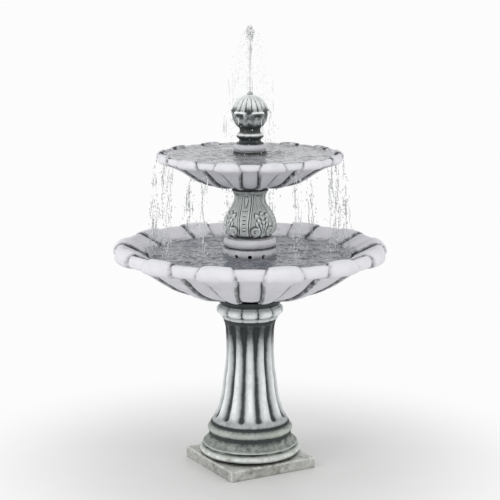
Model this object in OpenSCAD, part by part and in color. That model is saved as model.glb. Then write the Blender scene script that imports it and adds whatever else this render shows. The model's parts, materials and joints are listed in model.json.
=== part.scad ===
// Two-bowl garden fountain in cast stone, drawn running, with its pump and plumbing.
// Millimetres. The origin is the centre of the plinth's bottom face, and +Z is up.

/* [Pedestal] */
// Side of the square plinth
plinth_side = 322; // [312:1:350]
// Thickness of the plinth
plinth_h = 37; // [34:1:45]
// Largest radius of the moulded base
base_r = 168; // [165:0.5:172]
// Height of the moulded base
base_h = 111; // [108:1:118]
// Radius of the column at its waist
waist_r = 78; // [74:1:84]
// Height of the column between base and collar
column_h = 352; // [330:2:390]
// Number of flutes round the column, and of beads round the collar
flutes = 12; // [8:1:16]
// Depth of a flute
flute_depth = 9; // [4:0.5:11]
// Radius of the cable way inside the pedestal
cable_way_r = 52; // [51:0.5:55]

/* [Bowls] */
// Largest radius of the lower bowl
bowl_r = 450; // [440:1:470]
// Largest radius of the upper bowl
tier_r = 309; // [300:1:325]
// Number of raised lobes round each bowl
lobes = 13; // [9:2:17]
// How far a raised lobe stands out at the lip
lobe_out = 8; // [3:0.5:10]

/* [Riser and finial] */
// Outer radius of the drum that carries the riser
drum_r = 89; // [86:1:92]
// Number of arched water slots round the drum
drum_slots = 12; // [8:1:16]
// Radius of the finial ball
ball_r = 60; // [56:1:64]
// Height of the water jet above the finial
jet_h = 217; // [120:1:240]

/* [Hidden] */

$fn = 96;
stone = "#c8c8cc";
aged_stone = "#9aa39c";
water_blue = [0.72, 0.78, 0.82, 0.5];

// Heights of the joints between the stones, from the ground up
z_base = plinth_h;
z_column = z_base + base_h;
z_collar = z_column + column_h;
z_bowl = z_collar + 72;
z_floor = z_bowl + 50;
z_water = z_bowl + 146;
z_ring = z_bowl + 170;
z_baluster = z_ring + 34;
z_tier = z_baluster + 166;
z_tier_floor = z_tier + 36;
z_tier_water = z_tier + 105;
z_disc = z_tier + 114;
z_stem = z_disc + 26;
z_ball = z_stem + 100;
z_jet = z_ball + ball_r + 8.4;

seat_r = 125;
spigot_r = 75;
spigot_h = 8;
lobe_angle = 180 / lobes;
// The front of the fountain: the middle of a recessed lobe, a rib and a bead all face it
front_angle = -119.5;
water_gap = 0.7;
riser_bore_r = 24;
riser_spigot_r = 32;

// Pump: the rotor's axis lies along X, and its outlet is on the fountain's axis
axis_z = z_floor + 58;
pump_top = axis_z + 20;
can_r = 10.2;
chamber_r = 17;
shaft_r = 1.5;
screw_offset = 16.5;
stopper_y = -40;
drain_r = 10;

// Hose: straight up from the pump's outlet to the upper bowl
hose_r = 8;
hose_bore_r = 6.4;
z_hose = pump_top + 11;
z_hose_end = z_tier - 9;

// Points along an arc of radius r about (cx, cy), from angle a0 to a1
function arc(cx, cy, r, a0, a1, n = 8) =
    [for (i = [0:n]) let (a = a0 + (a1 - a0) * i / n) [cx + r * cos(a), cy + r * sin(a)]];
// Points along an ellipse's arc
function oval(cx, cy, rx, ry, a0, a1, n = 8) =
    [for (i = [0:n]) let (a = a0 + (a1 - a0) * i / n) [cx + rx * cos(a), cy + ry * sin(a)]];
// Points along a cubic curve with the handles p1 and p2
function curve(p0, p1, p2, p3, n = 8) =
    [for (i = [0:n]) let (t = i / n, u = 1 - t)
        u * u * u * p0 + 3 * u * u * t * p1 + 3 * u * t * t * p2 + t * t * t * p3];
module turned(points, z = 0) {
    translate([0, 0, z])
        rotate_extrude()
            polygon(points);
}

module tube(r_out, r_in, z0, z1) {
    translate([0, 0, z0])
        difference() {
            cylinder(r = r_out, h = z1 - z0);
            translate([0, 0, -1])
                cylinder(r = r_in, h = z1 - z0 + 2);
        }
}

module bore(r, z0, z1) {
    translate([0, 0, z0 - 1])
        cylinder(r = r, h = z1 - z0 + 2);
}

// A cylinder along X, from x0 to x1, on the rotor's axis unless y and z say otherwise
module rod_x(r, x0, x1, y = 0, z = axis_z) {
    translate([x0, y, z])
        rotate([0, 90, 0])
            cylinder(r = r, h = x1 - x0);
}

module block(x0, x1, y0, y1, z0, z1) {
    translate([x0, y0, z0])
        cube([x1 - x0, y1 - y0, z1 - z0]);
}

// A block with its four X edges rounded
module rounded_block(x0, x1, y0, y1, z0, z1, r) {
    block(x0, x1, y0 + r, y1 - r, z0, z1);
    block(x0, x1, y0, y1, z0 + r, z1 - r);
    for (y = [y0 + r, y1 - r], z = [z0 + r, z1 - r])
        rod_x(r, x0, x1, y, z);
}

module around(count, first = 0) {
    for (i = [0:count - 1])
        rotate([0, 0, first + i * 360 / count])
            children();
}

// ---- Pedestal ----

module plinth() {
    pocket_floor = plinth_h - 20;
    groove_w = 24;
    color(aged_stone)
        difference() {
            translate([-plinth_side / 2, -plinth_side / 2, 0])
                cube([plinth_side, plinth_side, plinth_h]);
            translate([0, 0, pocket_floor])
                cylinder(r = cable_way_r, h = plinth_h);
            translate([-groove_w / 2, 0, pocket_floor])
                cube([groove_w, plinth_side, plinth_h]);
        }
}

module base_moulding() {
    lower_torus = 13;
    upper_torus = 12;
    profile = concat([[cable_way_r, 0], [base_r - 16, 0]],
        arc(base_r - lower_torus, 20, lower_torus, -90, 90),
        [[base_r - 18, 34], [base_r - 18, 42], [base_r - 9, 43], [base_r - 9, 47]],
        curve([base_r - 12, 49], [base_r - 22, 54], [base_r - 30, 64], [base_r - 30, 75], 5),
        arc(base_r - 38, 90, upper_torus, -60, 90, 7),
        [[base_r - 36, base_h - 3], [base_r - 36, base_h], [cable_way_r, base_h]]);
    color(stone)
        turned(profile, z_base);
}

// Outline of the column from its foot to its neck
function column_side() = concat(
    curve([waist_r + 52, 0], [waist_r + 44, 14], [waist_r + 20, 60], [waist_r + 13, 125], 6),
    curve([waist_r + 9, 160], [waist_r + 1, 200], [waist_r - 2, 275], [waist_r + 4, column_h - 25], 6),
    [[waist_r + 7, column_h - 12], [waist_r + 11, column_h]]);

// One flute's cutter: it follows the column's side, and runs out at both ends
module flute_cutter() {
    side = [for (p = column_side()) [p[1], p[0]]];
    z0 = 20.3;
    z1 = column_h - 21.7;
    steps = 10;
    runout = 0.35;
    clear_r = waist_r + 70;
    floor_line = [for (i = [0:steps]) let (z = z0 + (z1 - z0) * i / steps)
        [lookup(z, side) - flute_depth * (i == 0 || i == steps ? runout : 1), z]];
    rotate_extrude(angle = 190 / flutes)
        polygon(concat(floor_line, [[clear_r, z1], [clear_r, z0]]));
}

module column() {
    color(stone)
        difference() {
            turned(concat([[cable_way_r, 0]], column_side(), [[cable_way_r, column_h]]), z_column);
            translate([0, 0, z_column])
                around(flutes, front_angle + 85 / flutes)
                    flute_cutter();
        }
}

module column_collar() {
    h = z_bowl - z_collar;
    bead = oval(94, 31, 17, 15.5, -75, 80, 8);
    profile = concat([[cable_way_r, 0], [89, 0]], arc(86, 7, 7, -50, 60, 4), bead,
        curve([97, 50], [100, 56], [110, 63], [seat_r - 5, h - 1], 5), [[seat_r - 5, h]],
        [[spigot_r, h], [spigot_r, h + spigot_h], [cable_way_r, h + spigot_h]]);
    notch_angle = 4;
    color(stone)
        difference() {
            turned(profile, z_collar);
            translate([0, 0, z_collar])
                around(flutes, front_angle + 180 / flutes - notch_angle / 2)
                    rotate_extrude(angle = notch_angle)
                        polygon([[101, 14], [114, 14], [114, 49], [101, 49]]);
        }
}

// ---- Bowls ----

// Outlines of the lower bowl, from its foot out to the lip and back in to its floor
function lower_under() = concat([[seat_r - 4, 0], [seat_r, 3]],
    curve([seat_r + 2, 6], [seat_r + 155, 30], [bowl_r - 128, 110], [bowl_r - 33, 135], 9));
function lower_lip() = [[bowl_r - 12, 139], [bowl_r - lobe_out, 150], [bowl_r - 14, 169],
    [bowl_r - 26, 180], [bowl_r - 36, 181], [bowl_r - 62, 169]];
function lower_inside() = [[bowl_r - 115, 146], [bowl_r - 133, 123], [bowl_r - 163, 99],
    [bowl_r - 212, 77], [bowl_r - 275, 58], [130, 50]];
// A raised lobe of the lower bowl, with its back buried in the wall
function lower_lobe() = concat(
    curve([seat_r + 12, 12], [seat_r + 160, 10], [bowl_r - 118, 109], [bowl_r - 24, 129], 7),
    [[bowl_r - 4, 138], [bowl_r, 149], [bowl_r - 6, 171], [bowl_r - 22, 184], [bowl_r - 38, 184.4]],
    [[bowl_r - 50, 167], [bowl_r - 62, 146], [seat_r + 40, 28]]);

// The same outlines for the upper bowl
function upper_under() = concat([[74, 0], [78, 2]],
    curve([80, 3], [182, 6], [tier_r - 109, 61], [tier_r - 32, 80], 8));
function upper_lip() = [[tier_r - 11, 85], [tier_r - lobe_out, 93], [tier_r - 12, 106],
    [tier_r - 18, 111.5], [tier_r - 24, 112], [tier_r - 30, 108]];
function upper_inside() = [[tier_r - 36, 103], [tier_r - 49, 93], [tier_r - 75, 79],
    [tier_r - 130, 57], [112, 38], [96, 36]];
function upper_lobe() = concat(
    curve([92, 10], [178, -2], [tier_r - 100, 56], [tier_r - 24, 76], 6),
    [[tier_r - 3, 84], [tier_r, 92], [tier_r - 4, 107], [tier_r - 14, 114], [tier_r - 22, 114.4]],
    [[tier_r - 30, 102], [tier_r - 45, 85], [110, 22]]);

module lobed_bowl(outline, lobe, z) {
    turned(outline, z);
    translate([0, 0, z])
        around(lobes, front_angle + lobe_angle / 2)
            rotate_extrude(angle = lobe_angle)
                polygon(lobe);
}

module lower_bowl() {
    recess_r = spigot_r + 1;
    recess_h = spigot_h + 2;
    hub = [[0, z_floor - z_bowl], [0, recess_h], [recess_r, recess_h], [recess_r, 0]];
    color(stone)
        difference() {
            lobed_bowl(concat(lower_under(), lower_lip(), lower_inside(), hub), lower_lobe(), z_bowl);
            translate([0, stopper_y, z_bowl])
                cylinder(r = drain_r, h = 100);
        }
}

module upper_bowl() {
    recess_r = riser_spigot_r + 1;
    recess_h = 8;
    hub = [[0, z_tier_floor - z_tier], [0, recess_h], [recess_r, recess_h], [recess_r, 0]];
    color(stone)
        difference() {
            lobed_bowl(concat(upper_under(), upper_lip(), upper_inside(), hub), upper_lobe(), z_tier);
            bore(10.4, z_tier, z_tier_floor);
        }
}

// Standing water: the bowl's inside, drawn in by a small gap, up to the water line
module pool(inside, r_inner, level, z) {
    wall = [for (p = inside) if (p[1] < level) [p[0] - water_gap, p[1] + water_gap]];
    edge = [inside[0][0] - water_gap - 0.5, level];
    bottom = wall[len(wall) - 1];
    turned(concat([edge], wall, [[r_inner, bottom[1]], [r_inner, level]]), z);
}

module lower_water() {
    color(water_blue)
        pool(lower_inside(), drum_r + 0.6, z_water - z_bowl, z_bowl);
}

module upper_water() {
    color(water_blue)
        pool(concat([[tier_r - 34, 105]], upper_inside()), 56.6, z_tier_water - z_tier, z_tier);
}

// Water that leaves the upper bowl at each recessed lobe and drops in a widening arch
module falling_water() {
    top = [tier_r + 4.5, z_tier + 96];
    drop = top[1] - z_water - 1;
    reach = 15;
    rings = 14;
    sides = 8;
    strand_r = 4;
    function ring(i) = let (t = i / rings, r = top[0] + reach * sqrt(t), z = top[1] - drop * t)
        [for (k = [0:sides - 1]) let (a = k * 360 / sides)
            [r + strand_r * (1 - 0.4 * t) * cos(a), 1.6 * strand_r * sin(a), z]];
    points = [for (i = [0:rings]) for (p = ring(i)) p];
    walls = [for (i = [0:rings - 1], k = [0:sides - 1]) let (n = (k + 1) % sides)
        [i * sides + k, i * sides + n, (i + 1) * sides + n, (i + 1) * sides + k]];
    cap = [for (k = [sides - 1:-1:0]) k];
    foot = [for (k = [0:sides - 1]) rings * sides + k];
    color(water_blue)
        around(lobes, front_angle)
            polyhedron(points, concat(walls, [cap, foot]));
}

// ---- Riser ----

module riser_drum() {
    wall = 15;
    slot_r = 7;
    slot_z = z_water - 28;
    slot_h = 30;
    color(aged_stone)
        difference() {
            tube(drum_r, drum_r - wall, z_floor, z_ring);
            around(drum_slots, front_angle) {
                translate([drum_r, 0, slot_z + slot_h])
                    rotate([0, 90, 0])
                        cylinder(r = slot_r, h = 60, center = true);
                translate([drum_r - 30, -slot_r, slot_z])
                    cube([60, 2 * slot_r, slot_h]);
            }
        }
}

module riser_ring() {
    h = z_baluster - z_ring;
    color(aged_stone)
        turned(concat([[riser_bore_r, 0], [drum_r - 19, 0]],
            arc(drum_r - 19, h / 2, h / 2, -90, 90, 10), [[riser_bore_r, h]]), z_ring);
}

module baluster() {
    h = z_tier - z_baluster;
    profile = concat([[riser_bore_r, 0], [78, 0]],
        curve([82, 2], [89, 10], [80, 18], [84, 26], 5),
        curve([88, 33], [95, 52], [80, 72], [66, 94], 7),
        curve([56, 108], [48, 118], [46, 132], [53, 142], 6),
        [[60, 148], [62.5, 151], [62.5, 155], [58, 158], [58, h]],
        [[riser_spigot_r, h], [riser_spigot_r, h + 7.4], [riser_bore_r, h + 7.4]]);
    color(aged_stone)
        turned(profile, z_baluster);
}

// ---- Pump ----

module at_screws() {
    for (y = [-screw_offset, screw_offset], z = [-screw_offset, screw_offset])
        translate([0, y, axis_z + z])
            children();
}

module pump_housing() {
    color("#2b2d30")
        difference() {
            union() {
                difference() {
                    rounded_block(-48, -8, -25, 25, z_floor + 8, pump_top, 4);
                    block(-49, -10, -23, 23, z_floor + 10, pump_top - 2);
                }
                rod_x(can_r + 1.5, -44, -9);
                at_screws()
                    rotate([0, -90, 0])
                        translate([0, 0, 8.5])
                            cylinder(r = 3.2, h = 6.5);
            }
            rod_x(can_r, -38, -7);
            rod_x(3.5, -42, -37);
            at_screws()
                rotate([0, -90, 0])
                    translate([0, 0, 7])
                        cylinder(r = 1.55, h = 7.7);
        }
}

module pump_potting() {
    color("#1c1c1f")
        difference() {
            block(-48, -45, -22.9, 22.9, z_floor + 10.1, pump_top - 2.1);
            rod_x(5, -49, -44, 12, z_floor + 24);
        }
}

module pump_stator() {
    color("silver") {
        block(-36, -16, -19.5, 19.5, z_floor + 13, z_floor + 20);
        for (y = [-19.5, 12.2])
            block(-36, -16, y, y + 7.3, z_floor + 19, z_floor + 72);
    }
}

module pump_coils() {
    color("#b87333")
        for (y = [-19.5, 12.2])
            difference() {
                block(-39, -13, y - 3, y + 10.3, z_floor + 22, z_floor + 37);
                block(-36.2, -15.8, y - 0.2, y + 7.5, z_floor + 21, z_floor + 38);
            }
}

module pump_volute() {
    eye_holes = 6;
    color("#34373b")
        difference() {
            union() {
                rod_x(20, -8, 8);
                rounded_block(-8, -5, -20.5, 20.5, axis_z - 20.5, axis_z + 20.5, 4);
                translate([0, 0, axis_z])
                    cylinder(r = 7.9, h = 28);
            }
            rod_x(chamber_r, -9, 4);
            rod_x(3.5, 3, 9);
            translate([0, 0, axis_z])
                rotate([0, 90, 0])
                    around(eye_holes)
                        translate([8, 0, 3])
                            cylinder(r = 2.6, h = 6);
            translate([0, 0, axis_z + 10])
                cylinder(r = 5, h = 20);
            translate([0, 0, pump_top - 2])
                cylinder(r = 7.1, h = 12);
            at_screws()
                rotate([0, -90, 0])
                    cylinder(r = 1.6, h = 10);
        }
}

module pump_strainer() {
    slots = 5;
    color("#34373b")
        difference() {
            rounded_block(8, 34, -20, 20, axis_z - 20, axis_z + 20, 4);
            rounded_block(7, 32, -18, 18, axis_z - 18, axis_z + 18, 3);
            rod_x(2.56, 31, 35);
            for (i = [0:slots - 1])
                block(12 + 3.8 * i, 14 + 3.8 * i, -21, 21, axis_z - 13, axis_z + 13);
            for (y = [-14, 11])
                block(31, 35, y, y + 3, axis_z - 13, axis_z + 13);
        }
}

module pump_filter_foam() {
    color("#3a4a55")
        difference() {
            rounded_block(10, 27, -17.5, 17.5, axis_z - 17.5, axis_z + 17.5, 3);
            rod_x(7, 9, 28);
        }
}

module pump_shaft() {
    color("white")
        rod_x(shaft_r, -41.5, 7);
}

module pump_bushes() {
    color("#d8c8b0")
        for (x = [[-41.9, -38.4], [4.2, 7.8]])
            difference() {
                rod_x(3.4, x[0], x[1]);
                rod_x(shaft_r + 0.02, x[0] - 1, x[1] + 1);
            }
}

module pump_outlet_barb() {
    z0 = pump_top - 1.9;
    color("#34373b")
        translate([0, 0, z0])
            turned([[5, 0], [7, 0], [7, 10], [8.6, 10], [8.6, 12], [6.1, 12], [6.3, 14], [5.9, 18],
                [6.3, 20], [5.9, 24], [6.3, 26], [5.6, 32], [5, 32]]);
}

module pump_feet() {
    color("#202020")
        for (x = [-42, -14], y = [-18, 18])
            translate([x, y, z_floor + 0.2])
                turned([[0, 1], [6, 0], [6.5, 1], [3, 4], [3, 7.7], [0, 7.7]]);
}

module pump_cable_gland() {
    cord_r = 3.1;
    color("#202020")
        translate([-44, 12, z_floor + 24])
            rotate([0, -90, 0])
                turned([[cord_r, 0], [4.9, 0], [4.9, 4.1], [6.5, 4.1], [6.5, 6], [4.2, 13], [cord_r, 13]]);
}

module pump_screws() {
    color("silver")
        at_screws()
            rotate([0, -90, 0]) {
                translate([0, 0, 5])
                    cylinder(r = 1.5, h = 9.4);
                translate([0, 0, 3])
                    cylinder(r = 2.8, h = 2);
            }
}

module impeller() {
    blades = 6;
    color("#e8e8e8")
        difference() {
            union() {
                rod_x(4, -38, 2.5);
                rod_x(8.4, -10.8, -7);
                rod_x(15, -7, -5.5);
                translate([-6, 0, axis_z])
                    rotate([0, 90, 0])
                        around(blades)
                            translate([3, -0.8, 0])
                                cube([12, 1.6, 8.5]);
            }
            rod_x(shaft_r + 0.06, -39, 3.5);
        }
}

module rotor_magnet() {
    color("#4a4a4e")
        difference() {
            rod_x(9.6, -36, -12);
            rod_x(4.05, -37, -11);
        }
}

module flow_knob() {
    color("#5b6067") {
        rod_x(9, 34.4, 38);
        rod_x(2.5, 29.5, 36);
        rod_x(3.2, 29.5, 31.6);
        translate([38.8, 0, axis_z])
            cube([2, 3, 16], center = true);
    }
}

// ---- Plumbing ----

module drain_stopper() {
    color("#26282a")
        translate([0, stopper_y, 0])
            turned([[3.2, z_floor - 26], [drain_r - 1, z_floor - 26], [drain_r - 0.4, z_floor - 20],
                [drain_r - 0.4, z_floor + 0.3], [drain_r + 3.5, z_floor + 0.3],
                [drain_r + 3.5, z_floor + 4], [3.2, z_floor + 4]]);
}

module riser_hose() {
    color([0.85, 0.87, 0.86])
        tube(hose_r, hose_bore_r, z_hose, z_hose_end);
}

module hose_clamp() {
    color("silver")
        translate([0, 0, z_hose + 5])
            difference() {
                union() {
                    cylinder(r = hose_r + 1.2, h = 9);
                    translate([-6, hose_r + 0.5, 1])
                        cube([12, 4, 7]);
                }
                translate([0, 0, -1])
                    cylinder(r = hose_r + 0.05, h = 11);
            }
}

module bulkhead_nipple() {
    z0 = z_tier - 29;
    tube_socket_z = z_tier_floor + 8;
    groove_z = z_tier_floor + 16;
    color("goldenrod")
        difference() {
            turned([[4.8, z0], [5.6, z0], [6, z0 + 4], [6, z0 + 21], [10, z0 + 23],
                [10, z_tier_floor + 26], [4.8, z_tier_floor + 26]]);
            bore(6.4, tube_socket_z + 1, z_tier_floor + 26);
            translate([0, 0, groove_z])
                cylinder(r = 7.6, h = 3.4);
        }
}

module hex_nut(z) {
    difference() {
        translate([0, 0, z])
            cylinder(r = 17, h = 10, $fn = 6);
        bore(10.1, z, z + 10);
    }
}

module bulkhead_nuts() {
    color("goldenrod") {
        hex_nut(z_tier - 4.6);
        hex_nut(z_tier_floor + 2.6);
    }
}

module bulkhead_washers() {
    color("#202020") {
        tube(20, 10.1, z_tier + 5.4, z_tier + 8);
        tube(20, 10.1, z_tier_floor, z_tier_floor + 2.6);
    }
}

module tube_o_ring() {
    color("#151515")
        tube(7.5, 6.1, z_tier_floor + 16.2, z_tier_floor + 19.2);
}

// ---- Finial ----

module finial_base() {
    drains = 4;
    color(aged_stone)
        difference() {
            tube(56, 40, z_tier_floor, z_disc);
            around(drains, 45)
                translate([30, -6, z_tier_floor - 1])
                    cube([40, 12, 11]);
        }
}

module finial_disc() {
    h = z_stem - z_disc;
    color(stone)
        turned(concat([[7, 0], [50, 0], [50, 2]], arc(44, h / 2 + 0.5, 11.4, -75, 80, 8),
            [[40, h], [7, h]]), z_disc);
}

module finial() {
    ring_r = 44;
    neck_r = 34;
    color(aged_stone)
        difference() {
            union() {
                turned(concat([[0, 0], [46, 0], [42, 3]],
                    curve([38, 5], [neck_r, 7], [neck_r - 1, 14], [neck_r + 5, 17], 4),
                    arc(ring_r - 9, 26, 9, -80, 80, 8),
                    curve([neck_r + 3, 35], [neck_r - 1, 38], [neck_r - 1, 46], [neck_r + 2, 54], 4),
                    [[0, 54]]), z_stem);
                translate([0, 0, z_ball])
                    sphere(r = ball_r);
            }
            bore(7, z_stem, z_ball + ball_r);
        }
}

module finial_tube() {
    color("gainsboro")
        tube(6, 4.5, z_tier_floor + 10, z_ball + ball_r - 6);
}

module jet_nozzle() {
    z0 = z_ball + ball_r;
    color("goldenrod")
        turned([[2, z0 - 18], [4.4, z0 - 18], [4.4, z0 - 5.9], [6.9, z0 - 5.9], [6.9, z0 + 0.6],
            [10, z0 + 0.6], [10, z0 + 4], [7, z0 + 4], [4, z0 + 8], [2, z0 + 8]]);
}

module water_jet() {
    plume_r = 19;
    stem_h = jet_h - 60;
    color(water_blue)
        turned(concat([[0, 0], [2.4, 0], [3.4, stem_h * 0.4], [5, stem_h]],
            curve([8, stem_h + 6], [plume_r + 4, stem_h + 16], [plume_r + 4, jet_h - 4], [0, jet_h], 10)),
            z_jet);
}

plinth();
base_moulding();
column();
column_collar();
lower_bowl();
lower_water();
drain_stopper();
pump_housing();
pump_potting();
pump_stator();
pump_coils();
pump_volute();
pump_strainer();
pump_filter_foam();
pump_shaft();
pump_bushes();
pump_outlet_barb();
pump_feet();
pump_cable_gland();
pump_screws();
impeller();
rotor_magnet();
flow_knob();
riser_hose();
hose_clamp();
riser_drum();
riser_ring();
baluster();
upper_bowl();
upper_water();
bulkhead_nipple();
bulkhead_nuts();
bulkhead_washers();
tube_o_ring();
falling_water();
finial_base();
finial_disc();
finial();
finial_tube();
jet_nozzle();
water_jet();
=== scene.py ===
"""The looks of the two-bowl fountain: carved stones, moving water, materials, floor, light and camera."""

import json
import math

import bmesh
import bpy
import numpy as np
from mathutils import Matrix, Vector


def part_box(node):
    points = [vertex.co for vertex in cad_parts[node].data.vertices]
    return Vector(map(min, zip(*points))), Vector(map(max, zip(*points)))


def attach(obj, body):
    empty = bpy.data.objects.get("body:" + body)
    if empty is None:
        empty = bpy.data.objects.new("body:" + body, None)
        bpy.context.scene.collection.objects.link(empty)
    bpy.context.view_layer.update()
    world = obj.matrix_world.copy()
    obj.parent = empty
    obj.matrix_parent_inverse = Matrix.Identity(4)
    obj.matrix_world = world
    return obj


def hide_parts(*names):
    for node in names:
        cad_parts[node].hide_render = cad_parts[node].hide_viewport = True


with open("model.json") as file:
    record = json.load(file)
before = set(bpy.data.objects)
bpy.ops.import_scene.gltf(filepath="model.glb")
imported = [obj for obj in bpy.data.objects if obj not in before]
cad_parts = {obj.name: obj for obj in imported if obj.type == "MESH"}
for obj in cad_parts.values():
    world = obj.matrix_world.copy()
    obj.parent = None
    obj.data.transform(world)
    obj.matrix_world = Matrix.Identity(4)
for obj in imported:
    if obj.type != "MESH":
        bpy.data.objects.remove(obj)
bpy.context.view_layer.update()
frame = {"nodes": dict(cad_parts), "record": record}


# ---- Sizes, in millimetres unless a name says otherwise ----

FRONT = math.radians(-119.5)      # the fountain's front faces this way: a recessed lobe, a rib, a bead
LOBES = 13
FLUTES = 12
DRUM_SLOTS = 12
CABLE_WAY_R = 52
DRAIN_R = 10
PLINTH_HALF = 1000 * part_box("plinth")[1].x


def foot(node):
    return 1000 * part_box(node)[0].z


def top(node):
    return 1000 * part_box(node)[1].z


def tall(node):
    return top(node) - foot(node)


Z_FLOOR = foot("riser_drum")
Z_WATER = top("lower_water")
Z_TIER = foot("upper_bowl")
Z_TIER_WATER = top("upper_water")
Z_BALL = top("finial") - 60
BALL_R = 60


# ---- Small mathematics ----

def smooth(a, b, x):
    t = np.clip((x - a) / (b - a), 0, 1)
    return t * t * (3 - 2 * t)


def bell(x, width):
    return np.exp(-(x / width) ** 2)


def wrap(angle, period):
    """angle brought to within half a period of zero"""
    return (angle + period / 2) % period - period / 2


def around_axis(theta, r, z):
    """Points at bearing theta, r from the fountain's axis and z up; the three broadcast together"""
    x, y = r * np.cos(theta), r * np.sin(theta)
    return np.stack([x, y, np.broadcast_to(z, x.shape)], axis=-1)


def polar(r, angle, z):
    return r * math.cos(angle), r * math.sin(angle), z


def circle(r, count, y=0.0):
    turn = np.linspace(0, 2 * math.pi, count, endpoint=False)
    return [(r * math.cos(a), y + r * math.sin(a)) for a in turn]


def waves(points, size, seed, count=16):
    """A smooth random field of about unit height, whose features are about `size` mm across"""
    rng = np.random.default_rng(seed)
    total = np.zeros(points.shape[:-1])
    for _ in range(count):
        direction = rng.normal(size=3)
        direction /= np.linalg.norm(direction)
        rate = 2 * math.pi / (size * rng.uniform(0.6, 1.8))
        total += np.sin(points @ direction * rate + rng.uniform(0, 2 * math.pi))
    return total / math.sqrt(count / 2)


def arc(cx, cy, rx, a0, a1, n=10, ry=None):
    ry = rx if ry is None else ry
    turn = np.radians(np.linspace(a0, a1, n + 1))
    return [(cx + rx * math.cos(a), cy + ry * math.sin(a)) for a in turn]


def bezier(p0, p1, p2, p3, n=14):
    t = np.linspace(0, 1, n + 1)[:, None]
    u = 1 - t
    p0, p1, p2, p3 = (np.array(p) for p in (p0, p1, p2, p3))
    return [tuple(q) for q in u ** 3 * p0 + 3 * u * u * t * p1 + 3 * u * t * t * p2 + t ** 3 * p3]


def outline(points, step=1.5, soft=1.2):
    """Points every `step` mm along an outline, with its corners rounded over about `soft` mm"""
    p = np.array(points, float)
    length = np.concatenate([[0], np.cumsum(np.hypot(*np.diff(p, axis=0).T))])
    t = np.linspace(0, length[-1], max(int(length[-1] / step), 4) + 1)
    fine = np.stack([np.interp(t, length, p[:, k]) for k in (0, 1)], axis=1)
    for _ in range(max(int(2 * (soft / step) ** 2), 1)):
        fine[1:-1] = 0.25 * fine[:-2] + 0.5 * fine[1:-1] + 0.25 * fine[2:]
    return fine


def outward(profile):
    """Unit normals of an outline that runs from the foot out, up and back in"""
    tangent = np.gradient(profile, axis=0)
    normal = np.stack([tangent[:, 1], -tangent[:, 0]], axis=1)
    return normal / np.maximum(np.linalg.norm(normal, axis=1, keepdims=True), 1e-9)


# ---- Meshes ----

def new_object(name, vertices, faces, scale=0.001):
    mesh = bpy.data.meshes.new(name)
    mesh.from_pydata((np.asarray(vertices) * scale).tolist(), [], faces)
    mesh.polygons.foreach_set("use_smooth", [True] * len(mesh.polygons))
    obj = bpy.data.objects.new(name, mesh)
    bpy.context.scene.collection.objects.link(obj)
    return obj


def tidy_mesh(obj, merge=1e-6):
    """Poles merged into one vertex each, and all faces turned outwards"""
    bm = bmesh.new()
    bm.from_mesh(obj.data)
    bmesh.ops.remove_doubles(bm, verts=bm.verts, dist=merge)
    bmesh.ops.recalc_face_normals(bm, faces=bm.faces)
    bm.to_mesh(obj.data)
    bm.free()


def vertices_of(mesh):
    co = np.zeros(len(mesh.vertices) * 3)
    mesh.vertices.foreach_get("co", co)
    return co.reshape(-1, 3)


def set_marks(obj, marks):
    for name, values in marks.items():
        attribute = obj.data.attributes.new(name, "FLOAT", "POINT")
        attribute.data.foreach_set("value", np.clip(values, 0, 1).ravel().astype(np.float32))


def grid_faces(rings, around, loop):
    faces = []
    for i in range(rings if loop else rings - 1):
        a = i * around
        b = ((i + 1) % rings) * around
        for j in range(around):
            k = (j + 1) % around
            faces.append((a + j, a + k, b + k, b + j))
    return faces


def hollow_depth(grid, normals, passes):
    """How far each point lies below its surroundings, in mm; negative on an edge that stands out"""
    soft = grid.copy()
    for _ in range(passes):
        sides = 0.5 * (np.roll(soft, 1, axis=1) + np.roll(soft, -1, axis=1))
        ends = soft.copy()
        ends[1:-1] = 0.5 * (soft[:-2] + soft[2:])
        soft = 0.5 * (sides + ends)
    return ((soft - grid) * normals).sum(axis=-1)


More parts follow.
